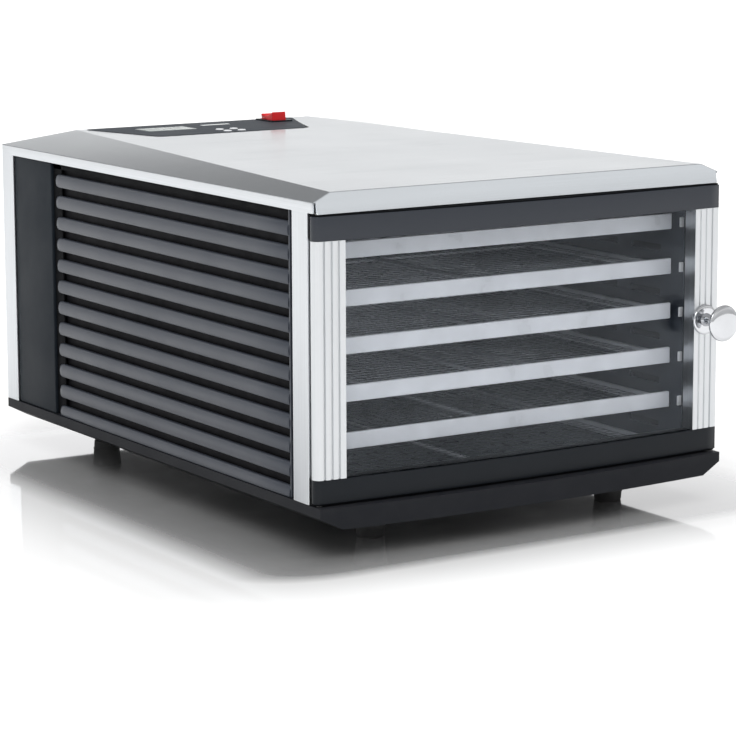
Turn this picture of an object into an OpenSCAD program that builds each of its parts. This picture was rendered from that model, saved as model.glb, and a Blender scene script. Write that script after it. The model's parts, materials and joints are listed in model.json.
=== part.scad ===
// Horizontal-flow food dehydrator: louvred cabinet, bowed glass door, six
// sliding trays, rear fan and heater. Millimetres, +Z up, origin on the
// floor at the centre of the bounding box, door towards -Y.

/* [Cabinet] */
// overall width of the cabinet, mm
body_w = 345; // [320:1:370]
// depth from the door's front edge to the rear posts, mm
body_d = 480; // [440:1:500]
// height of the underside of the base pan, mm
base_z = 20; // [14:1:26]
// top of the base pan's front ledge, mm
ledge_z = 35.5; // [32:0.5:38]
// underside of the top cover's front face, mm
skirt_z = 234.5; // [228:0.5:240]
// top of the side trim strips, mm
strip_z = 242.2; // [238:0.2:246]
// height of the flat top at the front, mm
top_front_z = 248.6; // [246:0.1:252]
// height of the flat top at the rear, mm
top_rear_z = 251.0; // [248:0.1:256]
// half-width of the flat top at the front, mm
crease_front = 158; // [150:1:165]
// half-width of the flat top at the rear, mm
crease_rear = 110; // [100:1:130]
// gap beside each end of the cover's front skirt, mm
skirt_gap = 2.2; // [1:0.1:4]
// sheet thickness of the top cover, mm
sheet_t = 1.2; // [0.8:0.1:2]

/* [Side panels] */
// number of louvres on each side
louvre_n = 12; // [8:1:14]
// louvre spacing, mm
louvre_pitch = 16.6; // [14:0.1:20]
// centre height of the top louvre, mm
louvre_top_z = 221.3; // [200:0.1:226]
// louvre height, mm
louvre_h = 10; // [9:0.5:14]
// width of the front trim post, mm
post_front = 20; // [14:1:26]
// width of the rear trim post, mm
post_rear = 19; // [14:1:26]

/* [Door] */
// door thickness at its ends, mm
door_t = 10; // [9:0.5:12]
// outward bow of the door at its middle, mm
door_bow = 6.5; // [3:0.5:9]
// height of the top and bottom rails, mm
rail_h = 17.6; // [14:0.1:24]
// width of the ribbed pillars, mm
pillar_w = 23; // [18:0.5:30]
// thickness of the glass, mm
glass_t = 4; // [3:0.5:5]
// diameter of the knob's head, mm
knob_d = 26.6; // [22:0.2:32]

/* [Trays] */
// spacing of the trays, mm
tray_pitch = 33.1; // [30:0.1:36]
// underside of the top tray, mm
tray_top_z = 200.5; // [195:0.5:204]
// outer width of a tray, mm
tray_w = 299; // [280:1:300]
// depth of a tray, mm
tray_d = 324; // [280:1:326]
// height of a tray's front lip, mm
lip_h = 10.3; // [6:0.1:12]

/* [Fan] */
// radius of the fan blades, mm
fan_r = 78; // [60:1:82]
// number of fan blades
blade_n = 5; // [3:1:7]

/* [Hidden] */
$fn = 48;
hw = body_w / 2;
knob_tip = 26;
rear_tip = body_d + 2;
y_mid = (rear_tip - knob_tip) / 2;
door_z0 = 36.3;
door_z1 = 233.9;
glass_z0 = door_z0 + rail_h;
glass_z1 = door_z1 - rail_h;
hinge_x = -hw + 5.3;
hinge_y = 5;
bow_r = body_w * body_w / (8 * door_bow);
front_y = 11;
post_y0 = front_y - 1;
// where the louvres start behind the front post
louvre_y = 37.8;
knob_x = 159.2;
knob_z = 135;
fan_z = 133;
fan_y = 400;
rear_y = 474;
tilt = atan((top_rear_z - top_front_z) / 468);
tray_y = 26;
lip_t = 2.9;
// how far a lip hangs below its tray; the lowest one is level with its tray
lip_drop = 1.3;
foot_x = 104;
foot_ys = [40, 440];
foot_r = 10;
chamber_w = 158;
chamber_y = 16;
plate_z0 = 32.3;
plate_z1 = 231.4;
partition_y = 357;
heater_y = 373;
ring_rs = [54, 70];
shroud_y = 388;
motor_y = 424;
gland_x = -120;
gland_z = 52;
gland_bore = 3.5;
seat_y = -0.5;
white = [0.88, 0.89, 0.9];
steel = [0.72, 0.73, 0.75];
black = [0.06, 0.06, 0.065];
charcoal = [0.25, 0.26, 0.28];
grey = [0.45, 0.47, 0.5];

// moves the working frame (door front at y = 0) to the stored frame
module at() {
  translate([0, -y_mid, 0]) children();
}

// frame of the gently sloped flat top: v along the slope, w along its normal
module on_top() {
  translate([0, 4, top_front_z]) rotate([tilt, 0, 0]) children();
}

// box given by its two corners
module box(a, b) {
  translate(a) cube([b[0] - a[0], b[1] - a[1], b[2] - a[2]]);
}

// cylinder along Y between two y values
module rod_y(x, z, r, y0, y1) {
  translate([x, y0, z]) rotate([-90, 0, 0]) cylinder(r = r, h = y1 - y0);
}

// everything behind a bowed upright front face
module behind_bow(r, y_front, z0, z1) {
  translate([0, y_front + r, z0]) cylinder(r = r, h = z1 - z0, $fn = 360);
}

// ---------- base ----------
module pan_outline() {
  polygon([[-156, base_z], [156, base_z], [hw, base_z + 8.5], [hw, ledge_z],
    [-hw, ledge_z], [-hw, base_z + 8.5]]);
}

module base_pan() {
  at() color(black) difference() {
    intersection() {
      translate([0, body_d, 0]) rotate([90, 0, 0]) linear_extrude(body_d + 16) pan_outline();
      behind_bow(1566, -14.5, base_z - 1, ledge_z + 1);
    }
    // room for the chamber and the fan
    box([-chamber_w, chamber_y, base_z + 4], [chamber_w, 470, ledge_z + 1]);
    // sill the lowest tray passes over
    box([-152, front_y - 0.4, 33.5], [152, 17, ledge_z + 1]);
    // hollow under the front ledge
    box([-150, -2, base_z - 1], [150, 10, 30]);
    // lower hinge pin
    translate([hinge_x, hinge_y, 29.5]) cylinder(r = 2.05, h = 8);
    // foot screws
    for (sx = [-1, 1], y = foot_ys) {
      translate([sx * foot_x, y, base_z - 1]) cylinder(r = 2.05, h = 8);
    }
    // underside intake slots
    for (i = [0 : 9]) {
      box([-63 + 14 * i - 3, 385, base_z - 1], [-63 + 14 * i + 3, 425, base_z + 5]);
    }
  }
}

module feet() {
  at() color(black) for (sx = [-1, 1], y = foot_ys) {
    translate([sx * foot_x, y, 0]) difference() {
      rotate_extrude() polygon([[0, 0], [foot_r - 0.8, 0], [foot_r, 1.2],
        [foot_r + 1.5, base_z - 2], [foot_r + 1.5, base_z], [0, base_z]]);
      translate([0, 0, -1]) cylinder(r = 5, h = 9);
      translate([0, 0, 5]) cylinder(r = 2.05, h = 30);
    }
  }
}

module foot_screws() {
  at() color(steel) for (sx = [-1, 1], y = foot_ys) {
    translate([sx * foot_x, y, 5.4]) cylinder(r = 4.2, h = 2.6);
    translate([sx * foot_x, y, 7.5]) cylinder(r = 2, h = 18);
  }
}

// ---------- sides ----------
function arc_pts(cx, cy, r, a0, a1, n) =
  [for (i = [0 : n]) [cx + r * cos(a0 + (a1 - a0) * i / n), cy + r * sin(a0 + (a1 - a0) * i / n)]];

// louvre outline seen from the side: rounded towards the rear
module louvre_outline() {
  polygon(concat([[louvre_y, -louvre_h / 2]],
    arc_pts(388, -louvre_h / 2 + 4, 4, -90, 0, 4),
    arc_pts(387, louvre_h / 2 - 5, 5, 0, 90, 4),
    [[louvre_y, louvre_h / 2]]));
}

module louvre() {
  intersection() {
    translate([-hw + 12.2, 0, -1]) rotate([-90, 0, 0]) cylinder(r = 11, h = 430, $fn = 96);
    rotate([90, 0, 90]) translate([0, 0, -hw]) linear_extrude(5) louvre_outline();
  }
}

module side_panel() {
  color(charcoal) difference() {
    union() {
      // flat rear strip
      box([-hw + 1.5, 396, ledge_z + 0.3], [-hw + 4.5, body_d - post_rear - 0.6, skirt_z]);
      // recessed ladder behind the louvres, with a thin rib at their front ends
      box([-hw + 4, 31, ledge_z + 0.3], [-hw + 5.5, louvre_y + 1, skirt_z]);
      box([-hw + 2.2, louvre_y - 1.5, ledge_z + 0.3], [-hw + 4.5, louvre_y + 0.2, skirt_z]);
      box([-hw + 4, 383, ledge_z + 0.3], [-hw + 5.5, 400, skirt_z]);
      box([-hw + 4, 31, louvre_top_z + 9], [-hw + 5.5, 400, skirt_z]);
      for (i = [0 : louvre_n - 1]) {
        translate([0, 0, louvre_top_z - louvre_pitch * i]) louvre();
      }
    }
    box([-hw - 2, 0, 0], [-hw + 12, body_d, ledge_z + 0.3]);
  }
}

module side_panel_left() {
  at() side_panel();
}

module side_panel_right() {
  at() mirror([1, 0, 0]) side_panel();
}

module trim() {
  color(white) {
    // top strip
    box([-hw, 3.7, skirt_z + 0.1], [-hw + 2, body_d, strip_z]);
    // front and rear posts
    box([-hw, post_y0, ledge_z + 0.1], [-hw + 2, post_y0 + post_front, skirt_z + 0.5]);
    box([-hw, body_d - post_rear, ledge_z + 0.1], [-hw + 2, body_d, skirt_z + 0.5]);
    // returns that close the front and rear edges
    box([-hw + 1, post_y0 + 1.4, ledge_z + 0.1], [-hw + 4, post_y0 + 2.6, skirt_z + 0.2]);
    box([-hw + 1, body_d - 1.5, ledge_z + 0.1], [-hw + 5, body_d, strip_z]);
  }
}

module trim_left() {
  at() trim();
}

module trim_right() {
  at() mirror([1, 0, 0]) trim();
}

// ---------- top ----------
// corner lines of the cover: lower edge and flat-top edge, f from front to rear
face_y = 4 * (strip_z + 0.1 - skirt_z) / (top_front_z - skirt_z);
cover_y = concat([face_y, face_y + 1.3], [for (i = [1 : 8]) face_y + (body_d - face_y) * i / 8]);
cover_m = len(cover_y);
crease_fall = crease_front - crease_rear;

function cover_f(i) = (cover_y[i] - face_y) / (body_d - face_y);
function low_pt(i, s) = [s * hw, cover_y[i], strip_z + 0.1];
function high_pt(i, s) = [s * (crease_front - crease_fall * cover_f(i)), 4 + 468 * cover_f(i),
  top_front_z + (top_rear_z - top_front_z) * cover_f(i)];

// outside of the cover: flat trapezoid top, twisted side bevels, front face
module cover_outside() {
  m = cover_m;
  n = m - 1;
  polyhedron(
    points = concat([for (i = [0 : n]) low_pt(i, -1)], [for (i = [0 : n]) high_pt(i, -1)],
      [for (i = [0 : n]) low_pt(i, 1)], [for (i = [0 : n]) high_pt(i, 1)],
      [[-hw, 0, skirt_z], [-hw, 1.3, skirt_z], [hw, 0, skirt_z], [hw, 1.3, skirt_z]]),
    faces = concat(
      [for (i = [0 : n - 1]) [i, i + 1, m + i + 1]],
      [for (i = [0 : n - 1]) [i, m + i + 1, m + i]],
      [for (i = [0 : n - 1]) [2 * m + i, 3 * m + i + 1, 2 * m + i + 1]],
      [for (i = [0 : n - 1]) [2 * m + i, 3 * m + i, 3 * m + i + 1]],
      [for (i = [0 : n - 1]) [m + i, m + i + 1, 3 * m + i + 1, 3 * m + i]],
      [for (i = [1 : n - 1]) [i, 2 * m + i, 2 * m + i + 1, i + 1]],
      [[4 * m, 0, m, 3 * m, 2 * m, 4 * m + 2]],
      [[n, 2 * m + n, 3 * m + n, m + n]],
      [[4 * m, 4 * m + 2, 4 * m + 3, 4 * m + 1]],
      [[4 * m + 1, 4 * m + 3, 2 * m + 1, 1]],
      [[4 * m, 4 * m + 1, 1, 0]],
      [[4 * m + 2, 2 * m, 2 * m + 1, 4 * m + 3]]));
}

// inside of the cover, one sheet thickness in
module cover_inside() {
  n = 8;
  m = n + 1;
  polyhedron(
    points = concat(
      [for (i = [0 : n]) [-hw + sheet_t, 4 + (body_d - 5.2) * i / n, strip_z - 0.5]],
      [for (i = [0 : n]) [1 - crease_front + (crease_fall - 0.4) * i / n, 5.6 + 465.2 * i / n,
        top_front_z - sheet_t + (top_rear_z - top_front_z) * i / n]],
      [for (i = [0 : n]) [hw - sheet_t, 4 + (body_d - 5.2) * i / n, strip_z - 0.5]],
      [for (i = [0 : n]) [crease_front - 1 - (crease_fall - 0.4) * i / n, 5.6 + 465.2 * i / n,
        top_front_z - sheet_t + (top_rear_z - top_front_z) * i / n]]),
    faces = concat(
      [for (i = [0 : n - 1]) [i, i + 1, m + i + 1]],
      [for (i = [0 : n - 1]) [i, m + i + 1, m + i]],
      [for (i = [0 : n - 1]) [2 * m + i, 3 * m + i + 1, 2 * m + i + 1]],
      [for (i = [0 : n - 1]) [2 * m + i, 3 * m + i, 3 * m + i + 1]],
      [for (i = [0 : n - 1]) [m + i, m + i + 1, 3 * m + i + 1, 3 * m + i]],
      [for (i = [0 : n - 1]) [i, 2 * m + i, 2 * m + i + 1, i + 1]],
      [[0, m, 3 * m, 2 * m]],
      [[n, 2 * m + n, 3 * m + n, m + n]]));
}

// corners of the control panel: x, y and radius
panel_corners = [[-73, 391, 8], [52, 391, 8], [86, 461, 4], [-99, 461, 4]];

module panel_outline(g, w0, w1) {
  hull() {
    for (p = panel_corners) {
      translate([p[0], p[1], w0]) cylinder(r = p[2] + g, h = w1 - w0, $fn = 32);
    }
  }
}

module top_cover() {
  at() color(steel) difference() {
    cover_outside();
    cover_inside();
    on_top() panel_outline(0.25, -6, 4);
    // notches beside the front skirt
    for (x = [-hw - 1, hw - skirt_gap]) {
      box([x, -1, skirt_z - 1], [x + skirt_gap + 1, 3.5, strip_z + 0.1]);
    }
  }
}

// ---------- front frame and chamber ----------
module front_bezel() {
  at() color(black) difference() {
    box([-hw + 4.2, front_y, ledge_z + 0.1], [hw - 4.2, front_y + 3.5, skirt_z - 0.6]);
    box([-152, front_y - 1, 20], [152, front_y + 5, 216]);
    // groove for the gasket
    for (s = [-1, 1]) {
      box([s * 154.5 - 1.6, front_y - 1, 20], [s * 154.5 + 1.6, front_y + 1.5, 220.6]);
    }
    box([-156.1, front_y - 1, 217.4], [156.1, front_y + 1.5, 220.6]);
    // pocket for the strike plate
    box([158, front_y - 1, 142.8], [167.2, front_y + 1.5, 183.2]);
  }
}

module door_gasket() {
  at() color([0.16, 0.16, 0.17]) {
    difference() {
      box([-156, front_y - 0.5, ledge_z + 0.6], [156, front_y + 1.4, 220.5]);
      box([-153, front_y - 2, 20], [153, front_y + 5, 217.5]);
    }
  }
}

module strike_plate() {
  at() color(steel) box([158.1, front_y + 0.1, 143], [167.1, front_y + 1.4, 183]);
}

module hinge_bracket() {
  at() color(steel) difference() {
    union() {
      box([-hw + 2.3, 2.3, skirt_z + 0.4], [-148, 24, skirt_z + 2.8]);
      box([-hw + 2.3, 22, skirt_z + 0.4], [-148, 24, skirt_z + 6.5]);
    }
    translate([hinge_x, hinge_y, skirt_z - 1]) cylinder(r = 2.05, h = 8);
  }
}

module liner_floor() {
  at() color(grey) {
    box([1 - chamber_w, chamber_y + 1.2, 31], [chamber_w - 1, partition_y - 1, 32]);
  }
}

// side wall of the chamber with one moulded guide under each tray
module rack() {
  color(grey) {
    difference() {
      box([1.5 - chamber_w, chamber_y + 1.4, plate_z0], [4 - chamber_w, partition_y - 1, plate_z1]);
      for (k = [0 : 4], j = [0 : 5]) {
        box([-158, 44 + 52 * j, tray_top_z - tray_pitch * k - 20],
          [-153, 44 + 52 * j + 36, tray_top_z - tray_pitch * k - 15]);
      }
    }
    for (k = [0 : 5]) {
      box([-155, 30.5, tray_top_z - tray_pitch * k - 1.6],
        [-144.5, 354, tray_top_z - tray_pitch * k + 0.7]);
    }
  }
}

module rack_left() {
  at() rack();
}

module rack_right() {
  at() mirror([1, 0, 0]) rack();
}

module chassis() {
  at() color([0.12, 0.12, 0.13]) {
    for (s = [-1, 1]) {
      box([s * 164.6 - 0.6, 15, ledge_z + 0.2], [s * 164.6 + 0.6, 473, 233.2]);
    }
    box([-165.2, 15, 232], [165.2, 473, 233.2]);
  }
}

// ---------- heater and fan ----------
module torus(rr, r) {
  rotate_extrude($fn = 96) translate([rr, 0]) circle(r, $fn = 24);
}

module heater_rings(r) {
  translate([0, heater_y, fan_z]) rotate([-90, 0, 0]) {
    for (rr = ring_rs) torus(rr, r);
  }
}

module heating_element() {
  at() color([0.35, 0.3, 0.28]) {
    heater_rings(3.2);
    translate([0, heater_y, fan_z - ring_rs[1] + 1]) cylinder(r = 3, h = 14);
    for (s = [-1, 1]) {
      rod_y(s * ring_rs[0], fan_z, 2.4, heater_y + 1, heater_y + 12);
    }
  }
}

// plate across the cabinet, stepped in where it drops into the base pan
module cross_plate(y, t) {
  box([-163.5, y, ledge_z + 0.3], [163.5, y + t, plate_z1]);
  box([1 - chamber_w, y, plate_z0], [chamber_w - 1, y + t, ledge_z + 1]);
}

module rear_partition() {
  at() color(grey) difference() {
    union() {
      cross_plate(partition_y, 1.6);
      for (a = [45, 135, 225, 315], rr = ring_rs) {
        rod_y(rr * cos(a), fan_z + rr * sin(a), 4.5, partition_y + 1, heater_y - 0.5);
      }
    }
    for (i = [-1, 0, 1], k = [0 : 10]) {
      translate([i * 62 - 26, partition_y - 2, 58 + 14.5 * k]) cube([52, 7, 5]);
    }
    heater_rings(3.3);
  }
}

module fan_shroud() {
  at() color(steel) difference() {
    union() {
      cross_plate(shroud_y, 1.4);
      rod_y(0, fan_z, fan_r + 6, shroud_y + 0.5, shroud_y + 14);
    }
    rod_y(0, fan_z, fan_r + 4.5, shroud_y - 8, shroud_y + 22);
  }
}

module fan_blade() {
  at() color([0.75, 0.76, 0.78]) difference() {
    union() {
      rod_y(0, fan_z, 18, fan_y - 7, fan_y + 8);
      intersection() {
        translate([0, fan_y, fan_z]) for (i = [0 : blade_n - 1]) {
          rotate([0, 360 / blade_n * i, 0]) translate([48, 0, 0]) rotate([18, 0, 0])
            cube([70, 1.8, 40], center = true);
        }
        rod_y(0, fan_z, fan_r, fan_y - 12, fan_y + 12);
      }
    }
    rod_y(0, fan_z, 3.03, fan_y - 20, fan_y + 20);
  }
}

module fan_shaft() {
  at() color(steel) rod_y(0, fan_z, 3, fan_y - 11, 452.5);
}

module fan_motor() {
  at() color([0.3, 0.3, 0.32]) difference() {
    union() {
      rod_y(0, fan_z, 30, motor_y, motor_y + 26);
      rod_y(0, fan_z, 9, motor_y - 7, motor_y + 1);
      for (a = [0, 90, 180, 270]) {
        rod_y(24 * cos(a), fan_z + 24 * sin(a), 3.4, motor_y - 1.5, motor_y + 0.5);
      }
    }
    rod_y(0, fan_z, 3.06, motor_y - 14, motor_y + 46);
  }
}

module motor_bracket() {
  at() color(steel) difference() {
    union() {
      box([-70, motor_y + 26.2, fan_z - 8], [70, motor_y + 28.2, fan_z + 8]);
      box([-8, motor_y + 26.2, fan_z - 60], [8, motor_y + 28.2, fan_z + 60]);
      for (s = [-1, 1]) {
        rod_y(s * 64, fan_z, 5, motor_y + 28, rear_y - 0.1);
        rod_y(0, fan_z + s * 54, 5, motor_y + 28, rear_y - 0.1);
      }
    }
    rod_y(0, fan_z, 6, motor_y + 16, motor_y + 36);
  }
}

// ---------- rear ----------
screw_xz = [[-160, 46], [160, 46], [-160, 133], [160, 133], [-160, 226], [160, 226]];

module rear_cover() {
  at() color([0.13, 0.13, 0.14]) difference() {
    box([-hw + 5.3, rear_y, ledge_z + 0.2], [hw - 5.3, rear_y + 1.6, strip_z - 0.6]);
    for (i = [-1, 0, 1], k = [0 : 12]) {
      box([i * 50 - 21, rear_y - 2, 68 + 10.5 * k], [i * 50 + 21, rear_y + 4, 68 + 10.5 * k + 4]);
    }
    for (p = screw_xz) {
      rod_y(p[0], p[1], 1.8, rear_y - 2, rear_y + 4);
    }
    rod_y(gland_x, gland_z, 6.6, rear_y - 2, rear_y + 4);
  }
}

module rear_cover_screws() {
  at() color(steel) for (p = screw_xz) {
    rod_y(p[0], p[1], 1.75, rear_y - 6, rear_y + 1.7);
    rod_y(p[0], p[1], 3.4, rear_y + 1.6, rear_y + 3.4);
  }
}

module cord_gland() {
  at() color(black) difference() {
    union() {
      rod_y(gland_x, gland_z, 6.5, rear_y - 8, rear_y + 2);
      rod_y(gland_x, gland_z, 9, rear_y + 1.6, rear_y + 5);
      rod_y(gland_x, gland_z, 6, rear_y + 4, rear_tip);
      rod_y(gland_x, gland_z, 9, rear_y - 4, rear_y - 0.1);
    }
    rod_y(gland_x, gland_z, gland_bore, rear_y - 20, rear_tip + 5);
  }
}

module terminal_block() {
  at() color([0.8, 0.8, 0.76]) difference() {
    box([-90, 436, base_z + 4], [-46, 454, base_z + 18]);
    for (i = [0 : 3]) {
      translate([-84 + 10.5 * i, 445, base_z + 10]) cylinder(r = 3, h = 20);
    }
    for (i = [0 : 3]) {
      rod_y(-84 + 10.5 * i, base_z + 8.5, 2, 430, 460);
    }
  }
}

// ---------- controls ----------
rocker_x = 64;
rocker_v = 447;
button_xv = [[-12, 392], [1, 392], [-12, 405], [1, 405]];

module control_panel() {
  at() color([0.36, 0.37, 0.39]) on_top() difference() {
    panel_outline(0, -3, 0.3);
    translate([-69.2, 419.8, -1]) cube([45.4, 25.4, 3]);
    translate([-8.2, 439.8, -1]) cube([26.4, 5.9, 3]);
    for (p = button_xv) {
      translate([p[0], p[1], -5]) cylinder(r = 3.8, h = 9);
    }
    translate([rocker_x - 8.7, rocker_v - 11.7, -5]) cube([17.4, 23.4, 9]);
  }
}

module display_windows() {
  at() color([0.75, 0.78, 0.78]) on_top() {
    translate([-69, 420, -1]) cube([45, 25, 1.45]);
    translate([-8, 440, -1]) cube([26, 5.5, 1.45]);
  }
}

module control_board() {
  at() color([0.1, 0.35, 0.2]) on_top() {
    difference() {
      translate([-76, 387, -8.6]) cube([108, 71, 1.6]);
      for (x = [-71, 27], v = [392, 453]) {
        translate([x, v, -10]) cylinder(r = 1.6, h = 5);
      }
    }
    for (p = button_xv) {
      translate([p[0] - 2.5, p[1] - 2.5, -7.1]) cube([5, 5, 0.9]);
    }
    translate([-66, 423, -7.1]) cube([39, 19, 3.8]);
  }
}

module rocker_frame() {
  at() color(black) on_top() translate([rocker_x, rocker_v, 0]) difference() {
    union() {
      translate([-10, -13, 0.35]) cube([20, 26, 1.1]);
      translate([-8.5, -11.5, -12]) cube([17, 23, 13]);
    }
    translate([-6.9, -10.2, -7]) cube([13.8, 20.4, 12]);
    translate([-8, 0, -1.5]) rotate([0, 90, 0]) cylinder(r = 1.26, h = 16);
  }
}

module rocker_button() {
  at() color([0.75, 0.03, 0.03]) on_top() translate([rocker_x, rocker_v, -1.5]) rotate([-8, 0, 0]) {
    rotate([90, 0, 90]) translate([0, 0, -6.5]) linear_extrude(13) polygon([[-9.1, -2.4],
      [9.1, -2.4], [9.3, 8.6], [4.5, 7], [0, 6.2], [-4.5, 7], [-9.3, 8.6]]);
    translate([-7.8, 0, 0]) rotate([0, 90, 0]) cylinder(r = 1.2, h = 15.6);
  }
}

module button(i) {
  at() color([0.8, 0.8, 0.81]) on_top() translate([button_xv[i][0], button_xv[i][1], 0]) {
    translate([0, 0, -4.6]) cylinder(r = 3.4, h = 5.7);
    translate([0, 0, -4.9]) cylinder(r = 4.8, h = 1.4);
  }
}

// ---------- door ----------
module glass_solid(g) {
  difference() {
    intersection() {
      box([-152 - g, -8, glass_z0 - 4 - g], [152 + g, 9, glass_z1 + 4 + g]);
      behind_bow(bow_r - 1.6 + g, -door_bow + 1.6 - g, 0, 260);
    }
    behind_bow(bow_r - 1.6 - glass_t - g, -door_bow + 1.6 + glass_t + g, 0, 260);
  }
}

// door stock between two heights, rounded about the hinge axis at its left end
module door_stock(x0, x1, z0, z1) {
  union() {
    intersection() {
      box([max(x0, hinge_x), -door_bow - 2, z0], [x1, door_t, z1]);
      behind_bow(bow_r, -door_bow, z0 - 1, z1 + 1);
    }
    if (x0 < hinge_x) {
      translate([hinge_x, hinge_y, z0]) cylinder(r = 5.2, h = z1 - z0);
    }
  }
}

module rail(z0, z1) {
  color(black) difference() {
    door_stock(-hw, hw, z0, z1);
    glass_solid(0.12);
    translate([hinge_x, hinge_y, z0 - 1]) cylinder(r = 2.03, h = z1 - z0 + 2);
  }
}

module door_top_rail() {
  at() rail(glass_z1, door_z1);
}

module door_bottom_rail() {
  at() rail(door_z0, glass_z0);
}

module grooves(x0) {
  for (i = [1 : 3]) {
    translate([x0 + pillar_w / 4 * i, 0, 0]) rotate([0, 0, 45])
      box([-1.5, -1.5, glass_z0 - 5], [1.5, 1.5, glass_z1 + 5]);
  }
}

module door_hinge_pillar() {
  at() color(white) difference() {
    door_stock(-hw, -hw + pillar_w, glass_z0 + 0.05, glass_z1 - 0.05);
    glass_solid(0.12);
    translate([0, -0.8, 0]) grooves(-hw);
  }
}

module door_handle_pillar() {
  at() color(white) difference() {
    door_stock(hw - pillar_w, hw, glass_z0 + 0.05, glass_z1 - 0.05);
    glass_solid(0.12);
    translate([0, -0.8, 0]) grooves(hw - pillar_w);
    // seat, screw hole and magnet pocket
    rod_y(knob_x, knob_z, 11.1, -9, seat_y);
    rod_y(knob_x, knob_z, 2.15, -5, 15);
    rod_y(knob_x, knob_z, 4.3, 6.6, 15);
    box([156, 5.4, knob_z + 12], [170, door_t + 1, knob_z + 44]);
  }
}

module door_glass() {
  at() color([0.75, 0.85, 0.85, 0.35]) glass_solid(0);
}

module knob_rose() {
  at() color(steel) translate([knob_x, seat_y, knob_z]) rotate([90, 0, 0]) difference() {
    rotate_extrude() polygon([[0, 0], [11, 0], [11, 2.2], [10.2, 3], [0, 3]]);
    translate([0, 0, -1]) cylinder(r = 2.15, h = 8);
  }
}

module knob_stem() {
  at() color(steel) difference() {
    rod_y(knob_x, knob_z, 5, -17.5, seat_y - 3);
    rod_y(knob_x, knob_z, 2.1, -13, 0);
  }
}

module knob_head() {
  at() color(steel) translate([knob_x, -17.5, knob_z]) rotate([90, 0, 0])
    rotate_extrude($fn = 64) polygon(concat([[0, 0], [7.5, 0]],
      arc_pts(knob_d / 2 - 1.4, 5.6, 1.4, -49, 75, 5),
      [for (i = [1 : 5]) [(knob_d / 2 - 1.4) * cos(18 * i), 6.95 + 1.55 * sin(18 * i)]]));
}

module knob_screw() {
  at() color(steel) {
    rod_y(knob_x, knob_z, 2, -12.5, 7);
    rod_y(knob_x, knob_z, 4, 6.7, 9.2);
  }
}

module door_magnet() {
  at() color([0.2, 0.2, 0.22]) box([156.3, 5.6, knob_z + 12.3], [169.7, 9.8, knob_z + 43.7]);
}

module hinge_pins() {
  at() color(steel) {
    translate([hinge_x, hinge_y, 30.2]) cylinder(r = 2, h = 20);
    translate([hinge_x, hinge_y, 221]) cylinder(r = 2, h = 17.4);
  }
}

// ---------- trays ----------
module tray(k) {
  z = tray_top_z - tray_pitch * k;
  tw = tray_w / 2;
  frame_y = tray_y + lip_t + 0.1;
  bay = (tray_d - 25) / 2;
  drop = k < 5 ? lip_drop : 0;
  at() color([0.8, 0.82, 0.82]) {
    // clipped-on front lip
    box([-tw, tray_y, z - drop], [tw, tray_y + lip_t, z + lip_h]);
    difference() {
      box([-tw + 1.5, frame_y, z + 1], [tw - 1.5, tray_y + tray_d, z + 6]);
      // ledge that the mesh lies on
      box([-tw + 5, tray_y + 6, z + 2.9], [tw - 5, tray_y + tray_d - 4, z + 8]);
      // four windows under the mesh
      for (i = [0, 1], j = [0, 1]) {
        translate([-tw + 11 + i * (tw - 8), tray_y + 12 + j * (bay + 7), z - 1])
          cube([tw - 14, bay, 5]);
      }
    }
  }
}

module tray_mesh(k) {
  z = tray_top_z - tray_pitch * k;
  tw = tray_w / 2;
  at() color([0.82, 0.84, 0.84]) box([-tw + 5.3, tray_y + 6.3, z + 3],
    [tw - 5.3, tray_y + tray_d - 4.3, z + 3.8]);
}

base_pan();
feet();
foot_screws();
side_panel_left();
side_panel_right();
trim_left();
trim_right();
top_cover();
front_bezel();
door_gasket();
liner_floor();
rack_left();
rack_right();
chassis();
rear_partition();
heating_element();
fan_shroud();
fan_motor();
motor_bracket();
rear_cover();
rear_cover_screws();
cord_gland();
terminal_block();
control_panel();
display_windows();
control_board();
rocker_frame();
hinge_bracket();
strike_plate();
door_top_rail();
door_bottom_rail();
door_hinge_pillar();
door_handle_pillar();
door_glass();
knob_rose();
knob_stem();
knob_head();
knob_screw();
hinge_pins();
door_magnet();
fan_blade();
fan_shaft();
rocker_button();
button(0);  // button_1
button(1);  // button_2
button(2);  // button_3
button(3);  // button_4
tray(0);  // tray_1
tray(1);  // tray_2
tray(2);  // tray_3
tray(3);  // tray_4
tray(4);  // tray_5
tray(5);  // tray_6
tray_mesh(0);  // tray_mesh_1
tray_mesh(1);  // tray_mesh_2
tray_mesh(2);  // tray_mesh_3
tray_mesh(3);  // tray_mesh_4
tray_mesh(4);  // tray_mesh_5
tray_mesh(5);  // tray_mesh_6
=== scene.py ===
"""Looks of a horizontal-flow food dehydrator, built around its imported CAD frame.

Metres, +Z up, door towards -Y. Every place is worked out from the CAD boxes.
"""

import json
import math

import bmesh
import bpy
from mathutils import Matrix, Vector

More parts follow.
